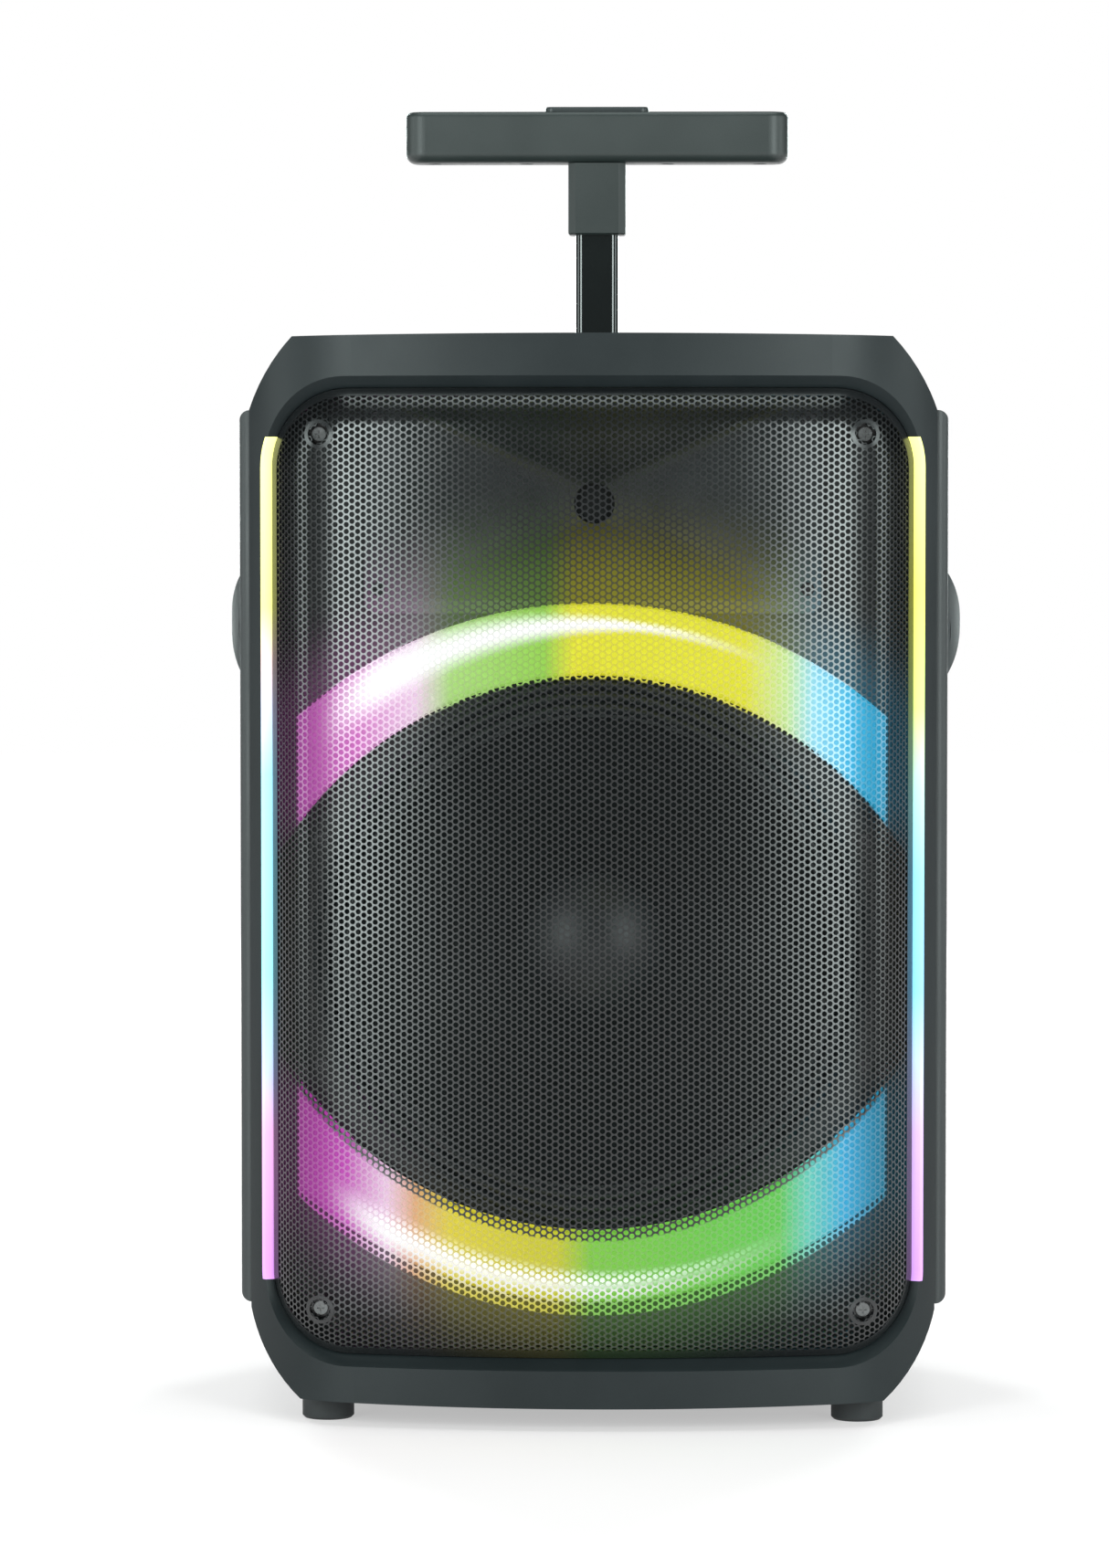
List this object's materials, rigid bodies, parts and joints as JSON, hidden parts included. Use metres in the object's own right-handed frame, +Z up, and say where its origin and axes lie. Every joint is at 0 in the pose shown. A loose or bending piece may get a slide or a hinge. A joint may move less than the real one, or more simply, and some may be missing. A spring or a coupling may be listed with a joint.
{
  "type": "party speaker",
  "caption": "Tall trolley loudspeaker with a bowed perforated grille, lit arcs and side strips, a telescopic T-handle, carry pockets and two rear wheels.",
  "frame": {"origin": "on the floor, under the middle of the whole speaker", "axes": "+X to the right seen from the front, +Y towards the rear panel (the grille faces -Y), +Z up"},
  "size_m": [0.4594, 0.33, 0.814],
  "materials": {
    "body_plastic": "fine-textured dark slate moulded plastic",
    "grille_steel": "black powder-coated perforated steel",
    "black_screws": "blackened steel",
    "baffle_board": "black moulded baffle",
    "strip_light": "milky light diffuser",
    "arc_light": "milky light diffuser",
    "circuit_board": "circuit board",
    "horn_plastic": "satin black moulded horn",
    "driver_metal": "zinc-plated steel",
    "frame_paint": "black pressed steel",
    "surround_rubber": "coated cloth surround",
    "cone_paper": "pressed black paper cone",
    "spider_cloth": "corrugated resin cloth",
    "coil_metal": "aluminium former with copper winding",
    "ferrite": "ferrite ring",
    "tube_gloss": "gloss black tube",
    "grip_plastic": "dark grey moulded grip",
    "button_plastic": "dark grey key",
    "rod_steel": "bright steel",
    "pad_rubber": "black rubber",
    "hub_plastic": "moulded wheel hub",
    "tyre_rubber": "soft black tread",
    "knob_plastic": "black knobs and keys",
    "display_glass": "smoked display window",
    "socket_plastic": "black sockets",
    "battery_case": "sealed battery case",
    "port_plastic": "black moulded tube"
  },
  "bodies": {
    "speaker": {"front_bezel": "body_plastic", "rear_cabinet": "body_plastic", "side_panel_left": "body_plastic", "side_panel_right": "body_plastic", "side_handle_left": "body_plastic", "side_handle_right": "body_plastic", "grille": "grille_steel", "grille_screws": "black_screws", "baffle": "baffle_board", "driver_screws": "black_screws", "led_strip_left": "strip_light", "led_strip_right": "strip_light", "light_arc_upper": "arc_light", "light_arc_lower": "arc_light", "led_boards": "circuit_board", "horn": "horn_plastic", "compression_driver": "driver_metal", "woofer_frame": "frame_paint", "woofer_surround": "surround_rubber", "woofer_spider": "spider_cloth", "woofer_top_plate": "driver_metal", "woofer_magnet": "ferrite", "woofer_back_plate": "driver_metal", "handle_well": "body_plastic", "guide_sleeve": "tube_gloss", "rest_pads": "pad_rubber", "feet": "pad_rubber", "wheel_axles": "rod_steel", "control_panel": "body_plastic", "tray_screws": "black_screws", "display_window": "display_glass", "sockets": "socket_plastic", "amplifier_board": "circuit_board", "battery": "battery_case", "port_tubes": "port_plastic"},
    "middle_stage": {"middle_tube": "tube_gloss"},
    "handle": {"inner_tube": "tube_gloss", "handle_collar": "grip_plastic", "grip_base": "grip_plastic", "grip_cap": "grip_plastic", "grip_screws": "black_screws", "release_spring": "rod_steel"},
    "button": {"release_button": "button_plastic", "push_rod": "rod_steel"},
    "left_wheel": {"wheel_hub_left": "hub_plastic", "wheel_tyre_left": "tyre_rubber"},
    "right_wheel": {"wheel_hub_right": "hub_plastic", "wheel_tyre_right": "tyre_rubber"},
    "cone": {"woofer_cone": "cone_paper", "dust_cap": "cone_paper", "voice_coil": "coil_metal"},
    "volume": {"volume_knob": "knob_plastic"},
    "bass": {"bass_knob": "knob_plastic"},
    "treble": {"treble_knob": "knob_plastic"},
    "mic": {"mic_knob": "knob_plastic"},
    "play": {"play_key": "knob_plastic"},
    "back": {"back_key": "knob_plastic"},
    "next": {"next_key": "knob_plastic"},
    "light": {"light_key": "knob_plastic"},
    "power": {"power_rocker": "knob_plastic"}
  },
  "joints": [
    {"name": "middle_stage_slide", "type": "slide", "parent": "speaker", "child": "middle_stage", "axis": [0, 0, 1], "range_m": [0, 0.2]},
    {"name": "handle_slide", "type": "slide", "parent": "middle_stage", "child": "handle", "axis": [0, 0, 1], "range_m": [-0.1098, 0.11]},
    {"name": "button_press", "type": "slide", "parent": "handle", "child": "button", "axis": [0, 0, -1], "range_m": [0, 0.003], "stiffness_N_per_m": 900, "springref_m": -0.002, "deforming": ["release_spring"]},
    {"name": "left_wheel_spin", "type": "hinge", "parent": "speaker", "child": "left_wheel", "pos_m": [-0.158, 0.127, 0.0405], "axis": [1, 0, 0], "continuous": true},
    {"name": "right_wheel_spin", "type": "hinge", "parent": "speaker", "child": "right_wheel", "pos_m": [0.158, 0.127, 0.0405], "axis": [1, 0, 0], "continuous": true},
    {"name": "cone_stroke", "type": "slide", "parent": "speaker", "child": "cone", "axis": [0, 1, 0], "range_m": [-0.005, 0.005], "stiffness_N_per_m": 3500, "deforming": ["woofer_surround", "woofer_spider"]},
    {"name": "volume_turn", "type": "hinge", "parent": "speaker", "child": "volume", "pos_m": [0, 0.15, 0.498], "axis": [0, -1, 0], "range_deg": [-145, 145]},
    {"name": "bass_turn", "type": "hinge", "parent": "speaker", "child": "bass", "pos_m": [-0.034, 0.15, 0.498], "axis": [0, -1, 0], "range_deg": [-145, 145]},
    {"name": "treble_turn", "type": "hinge", "parent": "speaker", "child": "treble", "pos_m": [0.034, 0.15, 0.498], "axis": [0, -1, 0], "range_deg": [-145, 145]},
    {"name": "mic_turn", "type": "hinge", "parent": "speaker", "child": "mic", "pos_m": [-0.064, 0.15, 0.498], "axis": [0, -1, 0], "range_deg": [-145, 145]},
    {"name": "play_press", "type": "slide", "parent": "speaker", "child": "play", "axis": [0, -1, 0], "range_m": [0, 0.0015], "stiffness_N_per_m": 400, "springref_m": -0.001},
    {"name": "back_press", "type": "slide", "parent": "speaker", "child": "back", "axis": [0, -1, 0], "range_m": [0, 0.0015], "stiffness_N_per_m": 400, "springref_m": -0.001},
    {"name": "next_press", "type": "slide", "parent": "speaker", "child": "next", "axis": [0, -1, 0], "range_m": [0, 0.0015], "stiffness_N_per_m": 400, "springref_m": -0.001},
    {"name": "light_press", "type": "slide", "parent": "speaker", "child": "light", "axis": [0, -1, 0], "range_m": [0, 0.0015], "stiffness_N_per_m": 400, "springref_m": -0.001},
    {"name": "power_rock", "type": "hinge", "parent": "speaker", "child": "power", "pos_m": [0.044, 0.143, 0.422], "axis": [1, 0, 0], "range_deg": [0, 18]}
  ]
}
